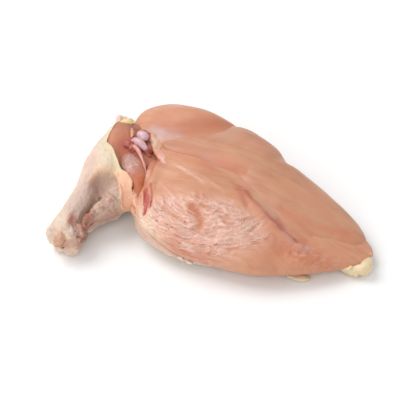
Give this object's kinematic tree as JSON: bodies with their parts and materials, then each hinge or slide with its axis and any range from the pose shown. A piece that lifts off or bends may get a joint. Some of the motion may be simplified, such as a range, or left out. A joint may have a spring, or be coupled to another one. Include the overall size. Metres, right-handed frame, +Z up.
{
  "type": "raw chicken breast",
  "caption": "Raw chicken breast half lying skin side down, with the inner fillet and the first wing joint on, cut joint and bone end showing.",
  "frame": {"origin": "on the table, under the middle of the whole piece", "axes": "+X from the wing's cut end to the breast's pointed tip, +Y away from the edge where the ribs were, +Z up from the skin side to the rib side"},
  "size_m": [0.1958, 0.1396, 0.0368],
  "materials": {
    "flesh": "moist raw muscle, satin",
    "fillet_flesh": "moist raw muscle, satin",
    "skin": "moist raw skin, soft",
    "wing_flesh": "moist raw muscle, satin",
    "arm_flesh": "moist raw muscle, glossy",
    "cartilage": "moist cartilage, glossy",
    "fat": "moist fat, satin"
  },
  "bodies": {
    "root": {"breast_muscle": "flesh", "inner_fillet": "fillet_flesh", "skin": "skin", "wing_meat": "wing_flesh", "arm_muscle": "arm_flesh", "wing_bone": "cartilage", "shoulder_cartilage": "cartilage", "tip_fat": "fat"}
  },
  "joints": []
}
